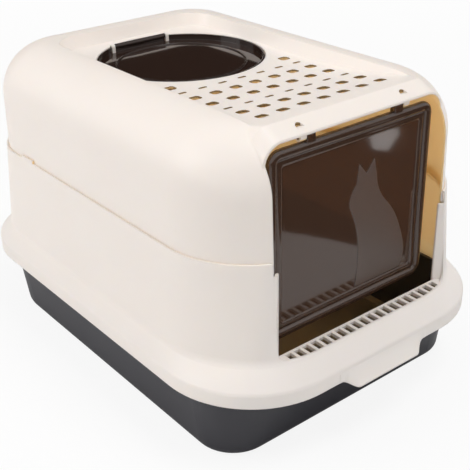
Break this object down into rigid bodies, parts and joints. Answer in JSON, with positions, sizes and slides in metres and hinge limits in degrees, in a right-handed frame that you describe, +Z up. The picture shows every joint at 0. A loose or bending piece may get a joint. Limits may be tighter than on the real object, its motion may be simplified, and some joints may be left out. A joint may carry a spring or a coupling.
{
  "type": "covered litter box",
  "caption": "Covered litter box: an open tray, a two-part hood with a grated sill and vented roof, a swinging see-through flap and a hinged round roof lid.",
  "frame": {"origin": "middle of the tray's underside, on the floor", "axes": "+Z up, -Y towards the front doorway, +X to the right of someone who looks at the front"},
  "size_m": [0.4, 0.587, 0.35],
  "materials": {
    "tray_plastic": "satin moulded polypropylene",
    "hood_plastic": "satin moulded polypropylene",
    "lid_plastic": "polished smoked polystyrene",
    "flap_plastic": "polished smoked polystyrene"
  },
  "bodies": {
    "tray": {"litter_tray": "tray_plastic"},
    "hood_base": {"lower_hood": "hood_plastic"},
    "hood_top": {"upper_hood": "hood_plastic"},
    "flap": {"front_flap": "flap_plastic"},
    "lid": {"hatch_lid": "lid_plastic"}
  },
  "joints": [
    {"name": "hood_lift", "type": "slide", "parent": "tray", "child": "hood_base", "axis": [0, 0, 1], "range_m": [0, 0.15]},
    {"name": "top_lift", "type": "slide", "parent": "hood_base", "child": "hood_top", "axis": [0, 0, 1], "range_m": [0, 0.12]},
    {"name": "flap_swing", "type": "hinge", "parent": "hood_top", "child": "flap", "pos_m": [0, -0.2295, 0.334], "axis": [1, 0, 0], "range_deg": [-70, 75]},
    {"name": "lid_hinge", "type": "hinge", "parent": "hood_top", "child": "lid", "pos_m": [0, 0.148, 0.335], "axis": [-1, 0, 0], "range_deg": [0, 110]}
  ]
}
